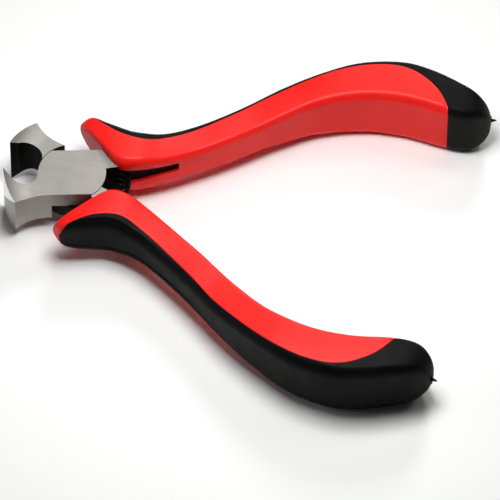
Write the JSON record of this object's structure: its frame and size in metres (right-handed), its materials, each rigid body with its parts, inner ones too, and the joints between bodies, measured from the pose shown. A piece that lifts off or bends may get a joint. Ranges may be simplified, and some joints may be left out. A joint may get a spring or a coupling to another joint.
{
  "type": "end cutting nipper",
  "caption": "Small spring-opened end cutting nipper: lap-jointed steel levers on a flush rivet, flared jaws with cutting edges parallel to the pivot, bowed red and black grips.",
  "frame": {"origin": "under the middle of the open tool's bounding box, on the surface the tool lies on", "axes": "+X along the tool from the jaws to the handle ends, +Y from the lower lever's handle towards the upper lever's handle, +Z along the pivot axis, up when the tool lies flat"},
  "size_m": [0.1049, 0.0884, 0.0155],
  "materials": {
    "lever_steel": "satin ground faces, black oxide in the jaw hollows and on the shanks",
    "rivet_steel": "ground flush with the lap plates",
    "spring_steel": "black oxide wire",
    "red_grip": "smooth red vinyl with a soft gloss",
    "black_pad": "satin black rubber"
  },
  "bodies": {
    "upper_half": {"upper_lever": "lever_steel", "pivot_rivet": "rivet_steel", "return_spring": "spring_steel", "upper_grip_sleeve": "red_grip", "upper_grip_pad": "black_pad"},
    "lower_half": {"lower_lever": "lever_steel", "lower_grip_sleeve": "red_grip", "lower_grip_pad": "black_pad"}
  },
  "joints": [
    {"name": "lap_joint", "type": "hinge", "parent": "upper_half", "child": "lower_half", "pos_m": [-0.03746, 0, 0.00775], "axis": [0, 0, 1], "range_deg": [0, 26], "stiffness_Nm_per_rad": 0.15, "springref_deg": -2.86, "deforming": ["return_spring"]}
  ]
}
